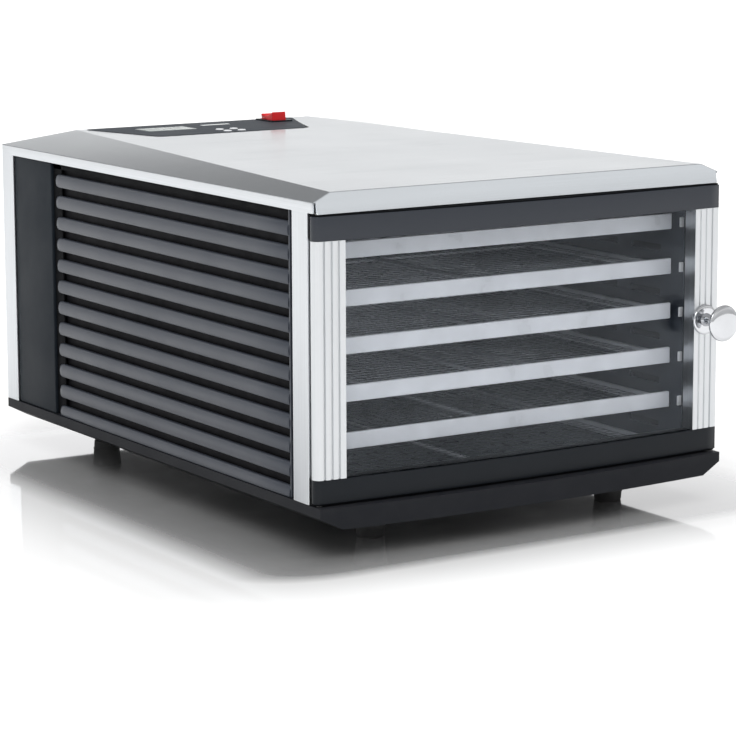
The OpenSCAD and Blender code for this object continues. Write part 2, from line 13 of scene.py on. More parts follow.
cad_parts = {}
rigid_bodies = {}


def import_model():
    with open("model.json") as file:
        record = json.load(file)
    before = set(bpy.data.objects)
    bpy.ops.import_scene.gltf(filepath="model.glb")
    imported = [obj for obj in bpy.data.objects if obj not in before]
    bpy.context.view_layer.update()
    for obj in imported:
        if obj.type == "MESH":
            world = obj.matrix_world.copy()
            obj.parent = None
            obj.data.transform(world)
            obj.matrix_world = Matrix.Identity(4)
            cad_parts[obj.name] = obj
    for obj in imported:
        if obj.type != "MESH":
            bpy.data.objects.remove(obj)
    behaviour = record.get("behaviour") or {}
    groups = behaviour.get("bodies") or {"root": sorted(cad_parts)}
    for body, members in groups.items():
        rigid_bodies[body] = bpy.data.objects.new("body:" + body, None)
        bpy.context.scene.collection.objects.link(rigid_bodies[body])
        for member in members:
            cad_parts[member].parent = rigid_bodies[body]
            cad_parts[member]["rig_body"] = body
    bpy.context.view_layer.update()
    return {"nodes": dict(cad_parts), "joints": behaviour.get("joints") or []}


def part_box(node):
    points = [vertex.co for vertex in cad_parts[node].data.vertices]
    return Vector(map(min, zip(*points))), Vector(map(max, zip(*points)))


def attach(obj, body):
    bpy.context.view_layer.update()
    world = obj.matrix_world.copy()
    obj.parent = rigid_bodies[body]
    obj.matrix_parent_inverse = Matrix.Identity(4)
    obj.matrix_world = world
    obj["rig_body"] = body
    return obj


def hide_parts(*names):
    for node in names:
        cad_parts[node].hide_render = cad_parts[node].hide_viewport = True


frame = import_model()

MM = 0.001
JOINTS = {joint["name"]: joint for joint in frame["joints"]}
cover_low, cover_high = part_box("top_cover")
HALF_W = cover_high.x
FRONT = cover_low.y
REAR = cover_high.y
HINGE_X, HINGE_Y = JOINTS["door_hinge"]["pos_m"][:2]


# ---------------------------------------------------------------- outlines
def arc(cx, cy, radius, start, end, steps):
    """Points of an arc, angles in degrees."""
    points = []
    for i in range(steps + 1):
        angle = math.radians(start + (end - start) * i / steps)
        points.append((cx + radius * math.cos(angle), cy + radius * math.sin(angle)))
    return points


def rectangle(u0, v0, u1, v1):
    return [(u0, v0), (u1, v0), (u1, v1), (u0, v1)]


def rounded(outline, radius, steps=3):
    """Outline with its corners rounded; radius is one value or one for each corner."""
    radii = radius if isinstance(radius, list) else [radius] * len(outline)
    made = []
    for i, r in enumerate(radii):
        here = Vector(outline[i])
        to_last = Vector(outline[i - 1]) - here
        to_next = Vector(outline[(i + 1) % len(outline)]) - here
        if r <= 0:
            made.append(here)
            continue
        reach = r / math.tan(to_last.angle(to_next) / 2)
        reach = min(reach, 0.49 * to_last.length, 0.49 * to_next.length)
        start = here + to_last.normalized() * reach
        end = here + to_next.normalized() * reach
        for k in range(steps + 1):
            t = k / steps
            made.append(start * (1 - t) ** 2 + here * 2 * t * (1 - t) + end * t ** 2)
    return made


def inset(outline, distance):
    """Outline moved inwards by a distance."""
    points = [Vector(p) for p in outline]
    area = sum(points[i - 1].cross(points[i]) for i in range(len(points)))
    turn = 1 if area > 0 else -1
    moved = []
    for i, here in enumerate(points):
        a = (here - points[i - 1]).normalized()
        b = (points[(i + 1) % len(points)] - here).normalized()
        left_a = Vector((-a.y, a.x)) * turn
        middle = left_a + Vector((-b.y, b.x)) * turn
        middle.normalize()
        moved.append(here + middle * distance / max(0.4, middle.dot(left_a)))
    return moved


# ---------------------------------------------------------------- solids
class Shape:
    """Points and faces of one piece, gathered solid by solid."""

    def __init__(self, place=None):
        self.points = []
        self.faces = []
        self.paints = []
        self.place = place or Matrix.Identity(4)

    def face(self, corners, paint):
        self.faces.append(corners)
        self.paints.append(paint)

    def take(self, work):
        """Copies a bmesh into this empty shape and frees it."""
        work.verts.index_update()
        self.points = [v.co.copy() for v in work.verts]
        for face in work.faces:
            self.face([v.index for v in face.verts], 0)
        work.free()

    def rings(self, rings, paint=0, capped=True):
        """Skin over a row of closed rings with the same number of points."""
        start = len(self.points)
        count = len(rings[0])
        for ring in rings:
            self.points.extend(self.place @ Vector(p) for p in ring)
        for i in range(len(rings) - 1):
            for j in range(count):
                a = start + i * count + j
                b = start + i * count + (j + 1) % count
                self.face([a, b, b + count, a + count], paint)
        if capped:
            last = len(self.points) - count
            self.face(list(range(start + count - 1, start - 1, -1)), paint)
            self.face(list(range(last, last + count)), paint)

    def slab(self, outline, axis, low, high, fillet=0.0, paint=0, steps=3):
        """Outline extruded along an axis, with both rims rounded."""
        levels = []
        for k in range(steps + 1):
            angle = math.pi / 2 * k / steps
            levels.append((fillet * (1 - math.sin(angle)), fillet * (1 - math.cos(angle))))
        if fillet == 0:
            levels = [(0, 0)]
        rows = [(low + rise, depth) for depth, rise in levels]
        rows += [(high - rise, depth) for depth, rise in reversed(levels)]
        place = {"x": lambda u, v, w: (w, u, v), "y": lambda u, v, w: (u, w, v),
                 "z": lambda u, v, w: (u, v, w)}[axis]
        self.rings([[place(u, v, w) for u, v in inset(outline, depth)]
                    for w, depth in rows], paint)
        return self

    def block(self, low, high, fillet, paint=0):
        """Box between two corners with every edge rounded."""
        outline = rounded(rectangle(low[0], low[1], high[0], high[1]), fillet)
        return self.slab(outline, "z", low[2], high[2], fillet, paint)

    def lathe(self, profile, centre, axis, turns=64):
        """Profile of (radius, height) pairs turned about an axis through centre."""
        rings = []
        for radius, height in profile:
            ring = []
            for u, v in arc(0, 0, radius, 0, 360, turns)[:-1]:
                offset = {"y": (u, height, v), "-y": (u, -height, v), "z": (u, v, height)}[axis]
                ring.append(Vector(centre) + Vector(offset))
            rings.append(ring)
        self.rings(rings)
        return self

    def wire(self, path, radius, sides):
        """Round wire along a path whose bends are gentle."""
        rings = []
        for i, here in enumerate(path):
            ahead = Vector(path[min(i + 1, len(path) - 1)]) - Vector(path[max(i - 1, 0)])
            side = ahead.cross(Vector((0, 0, 1))).normalized()
            up = side.cross(ahead).normalized()
            rings.append([Vector(here) + side * u + up * v
                          for u, v in arc(0, 0, radius, 45, 405, sides)[:-1]])
        self.rings(rings)

    def piece(self, name, body, paints, node=None, slot=None, crease=35):
        """Makes the object, seats it on its CAD body and lets it stand for a node."""
        mesh = bpy.data.meshes.new(name)
        mesh.from_pydata([tuple(p) for p in self.points], [], self.faces)
        mesh.polygons.foreach_set("material_index", self.paints)
        work = bmesh.new()
        work.from_mesh(mesh)
        bmesh.ops.remove_doubles(work, verts=work.verts, dist=1e-6)
        bmesh.ops.dissolve_degenerate(work, edges=work.edges, dist=1e-7)
        bmesh.ops.recalc_face_normals(work, faces=work.faces)
        work.to_mesh(mesh)
        work.free()
        for paint in paints:
            mesh.materials.append(paint)
        mesh.shade_smooth()
        mesh.set_sharp_from_angle(angle=math.radians(crease))
        made = bpy.data.objects.new(name, mesh)
        bpy.context.scene.collection.objects.link(made)
        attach(made, body)
        if node:
            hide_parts(node)
        return made


def softened(node, width, paint):
    """The CAD node again with its edges rounded, standing in its place."""
    source = frame["nodes"][node]
    work = bmesh.new()
    work.from_mesh(source.data)
    bmesh.ops.remove_doubles(work, verts=work.verts, dist=1e-6)
    bmesh.ops.dissolve_limit(work, angle_limit=math.radians(0.5), verts=work.verts,
                             edges=work.edges)
    shape = Shape()
    shape.take(work)
    made = shape.piece(node + "_soft", source["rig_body"], [paint], node)
    bevel = made.modifiers.new("rounded_edges", "BEVEL")
    bevel.width = width
    bevel.segments = 2
    bevel.limit_method = "ANGLE"
    bevel.angle_limit = math.radians(40)
    normals = made.modifiers.new("even_faces", "WEIGHTED_NORMAL")
    normals.keep_sharp = True
    return made


# ---------------------------------------------------------------- materials
class Paint:
    """One procedural material on a Principled shader, in object coordinates."""

    def __init__(self, name, colour, roughness, metallic=0.0, **fixed):
        self.material = bpy.data.materials.new(name)
        self.material.use_nodes = True
        self.tree = self.material.node_tree
        self.shader = self.tree.nodes["Principled BSDF"]
        self.place = self.node("TexCoord").outputs["Object"]
        self.shader.inputs["Base Color"].default_value = (*colour, 1)
        self.shader.inputs["Roughness"].default_value = roughness
        self.shader.inputs["Metallic"].default_value = metallic
        for socket, value in fixed.items():
            self.shader.inputs[socket.replace("_", " ")].default_value = value

    def node(self, kind):
        return self.tree.nodes.new("ShaderNode" + kind)

    def link(self, source, target):
        self.tree.links.new(source, target)

    def noise(self, per_metre, detail=3.0):
        """Noise with its own number of features per metre along X, Y and Z."""
        stretch = self.node("Mapping")
        stretch.inputs["Scale"].default_value = per_metre
        self.link(self.place, stretch.inputs["Vector"])
        texture = self.node("TexNoise")
        texture.inputs["Scale"].default_value = 1.0
        texture.inputs["Detail"].default_value = detail
        self.link(stretch.outputs["Vector"], texture.inputs["Vector"])
        return texture.outputs["Fac"]

    def spread(self, value, low, high, start=0.32, end=0.68):
        """Value stretched from start..end to low..high."""
        ranged = self.node("MapRange")
        ranged.inputs["From Min"].default_value = start
        ranged.inputs["From Max"].default_value = end
        ranged.inputs["To Min"].default_value = low
        ranged.inputs["To Max"].default_value = high
        self.link(value, ranged.inputs["Value"])
        return ranged.outputs["Result"]

    def maths(self, kind, a, b):
        sums = self.node("Math")
        sums.operation = kind
        for socket, value in zip(sums.inputs, (a, b)):
            if isinstance(value, (int, float)):
                socket.default_value = value
            else:
                self.link(value, socket)
        return sums.outputs["Value"]

    def tint(self, factor, first, second):
        """Base colour that runs from first to second."""
        mixer = self.node("Mix")
        mixer.data_type = "RGBA"
        self.link(factor, mixer.inputs["Factor"])
        mixer.inputs[6].default_value = (*first, 1)
        mixer.inputs[7].default_value = (*second, 1)
        self.link(mixer.outputs[2], self.shader.inputs["Base Color"])

    def rough(self, value):
        self.link(value, self.shader.inputs["Roughness"])

    def bump(self, height, depth):
        raised = self.node("Bump")
        raised.inputs["Distance"].default_value = depth
        raised.inputs["Strength"].default_value = 1.0
        self.link(height, raised.inputs["Height"])
        self.link(raised.outputs["Normal"], self.shader.inputs["Normal"])

    def worn_edges(self, colour, light, amount):
        """Edges rubbed lighter where the surface turns, broken up by noise."""
        turning = self.node("NewGeometry").outputs["Pointiness"]
        edge = self.spread(turning, 0, amount, 0.51, 0.60)
        patchy = self.maths("MULTIPLY", edge, self.spread(self.noise((90, 90, 90)), 0.2, 1))
        self.tint(patchy, colour, light)


def shade(colour, factor):
    return tuple(channel * factor for channel in colour)


def brushed_metal(name, colour, grain, roughness=0.3, depth=0.006 * MM, contrast=0.03):
    """Metal with scratches along one axis, at a fine and a coarse scale."""
    paint = Paint(name, colour, roughness, 1.0)
    along = "xyz".index(grain)
    fine = paint.noise([9 if i == along else 1900 for i in range(3)], 2)
    coarse = paint.noise([3 if i == along else 260 for i in range(3)], 3)
    clouds = paint.noise((9, 9, 9), 2)
    mixed = paint.maths("ADD", paint.maths("MULTIPLY", fine, 0.7), paint.maths("MULTIPLY", coarse, 0.3))
    paint.tint(paint.spread(mixed, 0, 1), shade(colour, 1 - contrast), shade(colour, 1 + contrast))
    paint.rough(paint.maths("ADD", paint.spread(mixed, -0.03, 0.03),
                            paint.spread(clouds, roughness - 0.012, roughness + 0.012)))
    paint.bump(mixed, depth)
    return paint.material


def moulded_plastic(name, colour, roughness, grain=1800, depth=0.012 * MM, **fixed):
    """Plastic with a fine eroded grain, faint flow marks and rubbed edges."""
    paint = Paint(name, colour, roughness, **fixed)
    speckle = paint.noise((grain, grain, grain), 2)
    clouds = paint.noise((22, 22, 22), 3)
    paint.worn_edges(colour, tuple(0.75 * c + 0.03 for c in colour), 0.3)
    paint.rough(paint.maths("ADD", paint.spread(speckle, -0.03, 0.03),
                            paint.spread(clouds, roughness - 0.05, roughness + 0.05)))
    paint.bump(speckle, depth)
    return paint.material


def smooth_metal(name, colour, roughness):
    """Plated or polished metal with faint smears."""
    paint = Paint(name, colour, roughness, 1.0)
    smears = paint.noise((60, 60, 60), 4)
    paint.tint(paint.spread(smears, 0, 1), shade(colour, 0.95), shade(colour, 1.03))
    paint.rough(paint.spread(smears, roughness * 0.7, roughness * 1.5))
    paint.bump(paint.noise((400, 400, 400), 2), 0.004 * MM)
    return paint.material


def sheet_metal(name, colour, roughness=0.42):
    """Zinc-coated sheet with large crystals."""
    paint = Paint(name, colour, roughness, 1.0)
    crystals = paint.node("TexVoronoi")
    crystals.inputs["Scale"].default_value = 160
    paint.link(paint.place, crystals.inputs["Vector"])
    grey = paint.node("SeparateColor")
    paint.link(crystals.outputs["Color"], grey.inputs["Color"])
    paint.tint(grey.outputs["Red"], shade(colour, 0.82), shade(colour, 1.08))
    paint.rough(paint.spread(grey.outputs["Green"], roughness - 0.08, roughness + 0.08, 0, 1))
    paint.bump(paint.noise((700, 700, 700), 2), 0.008 * MM)
    return paint.material


def rubber(name, colour):
    """Matt rubber with a dusty bloom."""
    paint = Paint(name, colour, 0.8)
    dust = paint.noise((70, 70, 70), 5)
    paint.tint(paint.spread(dust, 0, 1, 0.45, 0.8), colour, tuple(c + 0.05 for c in colour))
    paint.rough(paint.spread(dust, 0.7, 0.9))
    paint.bump(paint.noise((2500, 2500, 2500), 2), 0.02 * MM)
    return paint.material


def trim_metal(name, colour, turn_z):
    """Satin aluminium, brushed upwards below turn_z and along Y above it."""
    paint = Paint(name, colour, 0.34, 1.0)
    upright = paint.noise((1400, 1400, 12), 2)
    level = paint.noise((1400, 12, 1400), 2)
    height = paint.node("SeparateXYZ")
    paint.link(paint.place, height.inputs["Vector"])
    is_strip = paint.maths("GREATER_THAN", height.outputs["Z"], turn_z)
    both = paint.node("Mix")
    paint.link(is_strip, both.inputs["Factor"])
    paint.link(upright, both.inputs[2])
    paint.link(level, both.inputs[3])
    streaks = both.outputs[0]
    paint.tint(paint.spread(streaks, 0, 1), shade(colour, 0.95), shade(colour, 1.05))
    paint.rough(paint.spread(streaks, 0.30, 0.40))
    paint.bump(streaks, 0.015 * MM)
    return paint.material


def clear_glass(name):
    """Door glass: see-through, mirroring more at a shallow angle, with a trace of haze."""
    paint = Paint(name, (0.82, 0.89, 0.98), 0.03, 1.0)
    clear = paint.node("BsdfTransparent")
    clear.inputs["Color"].default_value = (0.955, 0.96, 0.965, 1)
    facing = paint.node("LayerWeight")
    facing.inputs["Blend"].default_value = 0.5
    shallow = paint.maths("POWER", facing.outputs["Facing"], 5)
    haze = paint.spread(paint.noise((16, 16, 16), 4), 0.016, 0.022)
    mixer = paint.node("MixShader")
    paint.link(paint.maths("ADD", paint.maths("MULTIPLY", shallow, 0.96), haze), mixer.inputs["Fac"])
    paint.link(clear.outputs["BSDF"], mixer.inputs[1])
    paint.link(paint.shader.outputs["BSDF"], mixer.inputs[2])
    output = paint.tree.nodes["Material Output"]
    paint.link(mixer.outputs["Shader"], output.inputs["Surface"])
    return paint.material


def tray_plastic(name):
    """Pale food-safe plastic, slightly cloudy inside."""
    colour = (0.60, 0.62, 0.66)
    paint = Paint(name, colour, 0.32)
    paint.shader.inputs["Subsurface Weight"].default_value = 0.25
    paint.shader.inputs["Subsurface Radius"].default_value = (0.003, 0.003, 0.003)
    clouds = paint.noise((40, 40, 40), 4)
    paint.tint(paint.spread(clouds, 0, 1), shade(colour, 0.9), shade(colour, 1.06))
    paint.rough(paint.spread(clouds, 0.26, 0.40))
    paint.bump(paint.noise((900, 900, 900), 2), 0.01 * MM)
    return paint.material


def heater_metal(name):
    """Oxidised heater sheath with straw and blue heat tints."""
    paint = Paint(name, (0.3, 0.26, 0.24), 0.45, 0.9)
    bands = paint.noise((30, 30, 30), 3)
    paint.tint(paint.spread(bands, 0, 1), (0.34, 0.27, 0.2), (0.2, 0.21, 0.27))
    paint.rough(paint.spread(bands, 0.35, 0.6))
    paint.bump(paint.noise((1200, 1200, 1200), 2), 0.01 * MM)
    return paint.material


def display_paint(name, colour):
    """Liquid-crystal panel behind a clear lens."""
    paint = Paint(name, colour, 0.18)
    cells = paint.noise((900, 900, 900), 1)
    paint.tint(paint.spread(cells, 0, 1), shade(colour, 0.94), shade(colour, 1.04))
    paint.rough(paint.spread(paint.noise((50, 50, 50)), 0.12, 0.24))
    paint.bump(paint.noise((60, 60, 60)), 0.01 * MM)
    return paint.material


STEEL = brushed_metal("brushed_steel", (0.72, 0.755, 0.79), "x", 0.2)
TRIM = trim_metal("satin_trim", (0.61, 0.63, 0.65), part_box("front_bezel")[1].z + 1 * MM)
PILLAR = brushed_metal("anodised_aluminium", (0.60, 0.615, 0.63), "z", 0.30)
CHROME = smooth_metal("chrome", (0.62, 0.63, 0.65), 0.06)
PLATED = smooth_metal("zinc_plated", (0.62, 0.62, 0.60), 0.28)
CHARCOAL = moulded_plastic("charcoal_plastic", (0.034, 0.040, 0.053), 0.38,
                           Specular_IOR_Level=0.5)
BASE = moulded_plastic("base_plastic", (0.012, 0.013, 0.016), 0.5, Specular_IOR_Level=0.1)
# Near-black painted shade: the shadow gaps at the rail steps and behind the louvres' ends and top.
SHADOW_GAP_BLACK = moulded_plastic("painted_shadow_gap_black", (0.003, 0.0035, 0.0045), 0.7, Specular_IOR_Level=0.05)
FLAT_STRIP = moulded_plastic("dark_strip_plastic", (0.009, 0.013, 0.018), 0.5,
                             Specular_IOR_Level=0.1)
BLACK = moulded_plastic("satin_black_plastic", (0.006, 0.008, 0.011), 0.34, Specular_IOR_Level=0.17)
# Lighter copy of the satin black plastic for the top rail: painted light where more light falls on it.
LIT_TOP_RAIL_BLACK = moulded_plastic("top_rail_black_painted_lit", (0.022, 0.026, 0.034), 0.36, Specular_IOR_Level=0.32)
PANEL = moulded_plastic("panel_grey", (0.042, 0.048, 0.056), 0.55, Specular_IOR_Level=0.12)
LINER = moulded_plastic("liner_plastic", (0.013, 0.018, 0.026), 0.5, 900)
RACK = moulded_plastic("rack_plastic", (0.015, 0.020, 0.030), 0.45, 900, Specular_IOR_Level=0.3)
PAINTED = moulded_plastic("painted_steel", (0.03, 0.03, 0.033), 0.45, 500, 0.03 * MM)
# Dark-painted chassis sheet, darkened further to near black as painted shade where it shows between the
# louvres.
INNER_BLACK_AND_SHADE = moulded_plastic("chassis_black_and_painted_shade", (0.006, 0.006, 0.008), 0.6, 500, 0.02 * MM,
                        Specular_IOR_Level=0.05)
ZINC = sheet_metal("galvanised_sheet", (0.66, 0.67, 0.68))
RUBBER = rubber("rubber", (0.02, 0.02, 0.021))
GLASS = clear_glass("door_glass_clear")
TRAY = tray_plastic("tray_plastic")
WIRE = smooth_metal("tray_wire", (0.22, 0.23, 0.25), 0.3)
HEATER = heater_metal("heater_sheath")
RED = moulded_plastic("red_rocker_plastic", (0.55, 0.004, 0.007), 0.3, 900, 0.004 * MM,
                      Specular_IOR_Level=0.3)
KEY = moulded_plastic("key_plastic", (0.66, 0.67, 0.69), 0.35, 900)
IVORY = moulded_plastic("ivory_nylon", (0.75, 0.72, 0.6), 0.4, 900)
BOARD = moulded_plastic("circuit_board", (0.02, 0.16, 0.06), 0.35, 600)
MOTOR = moulded_plastic("motor_enamel", (0.04, 0.04, 0.045), 0.4, 700)
BLADE = smooth_metal("pressed_aluminium", (0.75, 0.76, 0.78), 0.3)
LCD = display_paint("lcd_pale", (0.38, 0.41, 0.40))
LCD_DARK = display_paint("lcd_segments", (0.10, 0.12, 0.12))
LENS = display_paint("light_window", (0.55, 0.57, 0.57))


# ---------------------------------------------------------------- camera
CAMERA_PLACE = (-1.1476, -1.8220, 0.4672)
CAMERA_HEADING = math.radians(32.433)
CAMERA_DOWN = math.radians(9.646)
CAMERA_ROLL = math.radians(-0.195)
CAMERA_LENS = 138.97
CAMERA_SHIFT = (0.0064, -0.0362)


def make_camera():
    """Camera at the angle that the object was pictured from."""
    forward = Vector((math.sin(CAMERA_HEADING) * math.cos(CAMERA_DOWN),
                      math.cos(CAMERA_HEADING) * math.cos(CAMERA_DOWN), -math.sin(CAMERA_DOWN)))
    level = Vector((math.cos(CAMERA_HEADING), -math.sin(CAMERA_HEADING), 0))
    upright = level.cross(forward)
    right = level * math.cos(CAMERA_ROLL) + upright * math.sin(CAMERA_ROLL)
    up = upright * math.cos(CAMERA_ROLL) - level * math.sin(CAMERA_ROLL)
    data = bpy.data.cameras.new("camera")
    data.lens = CAMERA_LENS
    data.shift_x, data.shift_y = CAMERA_SHIFT
    data.clip_start = 0.05
    data.clip_end = 60
    camera = bpy.data.objects.new("camera", data)
    bpy.context.scene.collection.objects.link(camera)
    camera.matrix_world = Matrix.Translation(CAMERA_PLACE) @ Matrix(
        (right, up, -forward)).transposed().to_4x4()
    bpy.context.scene.camera = camera


# ---------------------------------------------------------------- cabinet
TOP_FALL = 2.4 * MM
CREASE_FRONT = HALF_W - 14.5 * MM
CREASE_REAR = HALF_W - 62.5 * MM
TOP_FRONT_Y = FRONT + 4 * MM
TOP_REAR_Y = REAR - 8 * MM
TOP_FRONT_Z = cover_high.z - TOP_FALL
SEAM_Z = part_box("trim_left")[1].z + 0.1 * MM
FACE_Y = FRONT + 4 * MM * (SEAM_Z - cover_low.z) / (TOP_FRONT_Z - cover_low.z)
SHEET = 1.2 * MM
SKIRT_GAP = 2.2 * MM
TOP_SLOPE = math.atan2(TOP_FALL, TOP_REAR_Y - TOP_FRONT_Y)
ON_TOP = Matrix.Translation((0, TOP_FRONT_Y, TOP_FRONT_Z)) @ Matrix.Rotation(TOP_SLOPE, 4, "X")
PANEL_FRONT, PANEL_REAR = 383 * MM, 465 * MM
PANEL_FRONT_X = (-81 * MM, 60 * MM)
PANEL_REAR_X = (-103 * MM, 90 * MM)


def top_point(share, side):
    """Point on the crease of the flat top, from front to rear."""
    return Vector((side * (CREASE_FRONT + (CREASE_REAR - CREASE_FRONT) * share),
                   TOP_FRONT_Y + (TOP_REAR_Y - TOP_FRONT_Y) * share,
                   TOP_FRONT_Z + TOP_FALL * share))


def low_point(share, side):
    """Point on the seam above the side trim, from front to rear."""
    return Vector((side * HALF_W, FACE_Y + (REAR - FACE_Y) * share, SEAM_Z))


def roof():
    """Folded steel cover: flat top, twisted side bevels, front and rear faces."""
    strips = 16
    work = bmesh.new()
    rows = []
    for i in range(strips + 1):
        share = i / strips
        row = [low_point(share, -1), top_point(share, -1), top_point(share, 1), low_point(share, 1)]
        rows.append([work.verts.new(p) for p in row])
    for i in range(strips):
        for j in range(3):
            work.faces.new((rows[i][j], rows[i][j + 1], rows[i + 1][j + 1], rows[i + 1][j]))
    skirt_w = HALF_W - SKIRT_GAP
    skirt = [work.verts.new((side * skirt_w, FRONT, cover_low.z)) for side in (-1, 1)]
    neck = [work.verts.new((side * skirt_w, FACE_Y, SEAM_Z)) for side in (-1, 1)]
    work.faces.new((skirt[0], neck[0], *rows[0], neck[1], skirt[1]))
    work.faces.new(tuple(reversed(rows[-1])))
    returns = [work.verts.new((side * skirt_w, FRONT + 3 * MM, cover_low.z)) for side in (-1, 1)]
    tops = [work.verts.new((side * skirt_w, FACE_Y + 3 * MM, SEAM_Z)) for side in (-1, 1)]
    work.faces.new((skirt[0], returns[0], tops[0], neck[0]))
    work.faces.new((skirt[1], neck[1], tops[1], returns[1]))
    bmesh.ops.recalc_face_normals(work, faces=work.faces)
    sharp = [e for e in work.edges
             if len(e.link_faces) == 2 and e.calc_face_angle() > math.radians(5)]
    bmesh.ops.bevel(work, geom=sharp, offset=0.55 * MM, segments=3, profile=0.5,
                    affect="EDGES", clamp_overlap=False)
    shape = Shape()
    shape.take(work)
    made = shape.piece("top_cover_sheet", "cabinet", [STEEL], "top_cover", crease=50)
    if sum(f.normal.z * f.area for f in made.data.polygons) < 0:
        made.data.flip_normals()
    thick = made.modifiers.new("sheet", "SOLIDIFY")
    thick.thickness = SHEET
    thick.offset = -1
    cutter_shape = Shape(ON_TOP)
    cutter_shape.slab(panel_outline(0.3 * MM), "z", -6 * MM, 6 * MM)
    carve(made, cutter_shape.piece("panel_opening", "cabinet", [STEEL], slot="top_cover"))
    normals = made.modifiers.new("even_faces", "WEIGHTED_NORMAL")
    normals.keep_sharp = True
    return made


def carve(piece, cutter):
    """Takes the cutter out of a piece, turning the piece's modifiers into mesh."""
    hole = piece.modifiers.new("opening", "BOOLEAN")
    hole.object = cutter
    hole.solver = "EXACT"
    depsgraph = bpy.context.evaluated_depsgraph_get()
    final = bpy.data.meshes.new_from_object(piece.evaluated_get(depsgraph))
    piece.modifiers.clear()
    piece.data = final
    bpy.data.objects.remove(cutter)


def panel_outline(grow):
    """Trapezoid of the control panel with its corners rounded, in the top's own frame."""
    corners = [(PANEL_FRONT_X[0], PANEL_FRONT), (PANEL_FRONT_X[1], PANEL_FRONT),
               (PANEL_REAR_X[1], PANEL_REAR), (PANEL_REAR_X[0], PANEL_REAR)]
    return inset(rounded(corners, [8 * MM, 8 * MM, 4 * MM, 4 * MM], 6), -grow)


def trim(side):
    """Brushed frame round one side: front post, top strip and rear post in one pressing."""
    node = "trim_left" if side < 0 else "trim_right"
    low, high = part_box(node)
    post_front, post_rear = 20 * MM, 19 * MM
    strip_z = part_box("front_bezel")[1].z + 0.8 * MM
    post_y = FRONT + 10 * MM
    outline = [(post_y, low.z), (post_y, strip_z), (low.y, strip_z), (low.y, high.z),
               (high.y, high.z), (high.y, low.z), (high.y - post_rear, low.z),
               (high.y - post_rear, strip_z), (post_y + post_front, strip_z),
               (post_y + post_front, low.z)]
    shape = Shape()
    faces = sorted((side * HALF_W, side * (HALF_W - 2 * MM)))
    shape.slab(rounded(outline, 0.5 * MM, 2), "x", faces[0], faces[1], 0.45 * MM)
    inner = sorted((side * (HALF_W - 1.2 * MM), side * (HALF_W - 4 * MM)))
    for y0, y1, top in ((post_y + 1.2 * MM, post_y + 2.6 * MM, strip_z),
                        (high.y - 1.6 * MM, high.y - 0.1 * MM, high.z - 0.4 * MM)):
        shape.block((inner[0], y0, low.z), (inner[1], y1, top), 0.3 * MM)
    return shape.piece(node + "_pressing", "cabinet", [TRIM], node)


LOUVRE_PITCH = 16.6 * MM
LOUVRE_COUNT = 12
LOUVRE_DROP = 13.2 * MM
LOUVRE_RADIUS = 11 * MM
LOUVRE_Y = FRONT + 37.8 * MM
LADDER_DEPTH = 5.5 * MM


def louvre_profile(shrink):
    """Bulged slat in (depth from the cabinet's side, height); shrink closes its end."""
    centre_depth = 12.2 * MM
    back = 5.2 * MM
    points = []
    for k in range(11):
        height = (4.9 - 9.6 * k / 10) * MM
        rise = height + 1 * MM
        depth = centre_depth - math.sqrt(LOUVRE_RADIUS ** 2 - rise ** 2)
        points.append((depth, height))
    top_depth = points[0][0]
    points[0] = (top_depth + 0.25 * MM, points[0][1])
    points.insert(0, (top_depth + 0.9 * MM, 5 * MM))
    points += [(points[-1][0] + 0.35 * MM, -4.95 * MM), (points[-1][0] + 1.1 * MM, -5 * MM),
               (back, -5 * MM), (back, 5 * MM)]
    return [(back + (depth - back) * shrink, height * (0.35 + 0.65 * shrink))
            for depth, height in points]


def side_plate(shape, side, y0, y1, depth0, depth1, z0, z1, fillet, paint):
    """Upright plate between two depths from the cabinet's side."""
    xs = sorted((side * (HALF_W - depth0), side * (HALF_W - depth1)))
    shape.block((xs[0], y0, z0), (xs[1], y1, z1), fillet, paint)


def side_panel(side):
    """Charcoal moulding with a row of bulged louvres and a flat strip at the rear."""
    node = "side_panel_left" if side < 0 else "side_panel_right"
    low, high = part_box(node)
    shape = Shape()
    bend, end = FRONT + 383 * MM, FRONT + 392 * MM
    sections = [(LOUVRE_Y, 0.93), (LOUVRE_Y + 0.5 * MM, 1.0)]
    sections += [(LOUVRE_Y + (bend - LOUVRE_Y) * k / 8, 1.0) for k in range(1, 9)]
    for k in range(1, 9):
        share = math.sin(math.pi / 2 * k / 8)
        sections.append((bend + (end - bend) * share, max(0.05, math.cos(math.pi / 2 * k / 8))))
    for i in range(LOUVRE_COUNT):
        centre = high.z - LOUVRE_DROP - LOUVRE_PITCH * i
        rings = []
        for y, shrink in sections:
            rings.append([(side * (HALF_W - depth), y, max(centre + height, low.z))
                          for depth, height in louvre_profile(shrink)])
        shape.rings(rings)
    strip_y = FRONT + 396 * MM
    ladder = 4.2 * MM
    side_plate(shape, side, strip_y, high.y, 1.5 * MM, 4.5 * MM, low.z, high.z, 0.8 * MM, 1)
    side_plate(shape, side, LOUVRE_Y - 1.5 * MM, LOUVRE_Y, 2.2 * MM, 4.5 * MM, low.z, high.z,
               0.3 * MM, 0)
    # Paint 2 on these plates is near-black painted shade for the dark gaps round the louvres.
    side_plate(shape, side, FRONT + 31 * MM, LOUVRE_Y + 1 * MM, ladder, LADDER_DEPTH, low.z,
               high.z, 0.2 * MM, 2)
    side_plate(shape, side, bend, FRONT + 400 * MM, ladder, LADDER_DEPTH, low.z, high.z,
               0.2 * MM, 2)
    side_plate(shape, side, FRONT + 34 * MM, FRONT + 400 * MM, ladder, LADDER_DEPTH,
               high.z - 4.5 * MM, high.z, 0.2 * MM, 2)
    return shape.piece(node + "_moulding", "cabinet", [CHARCOAL, FLAT_STRIP, SHADOW_GAP_BLACK], node,
                       crease=50)


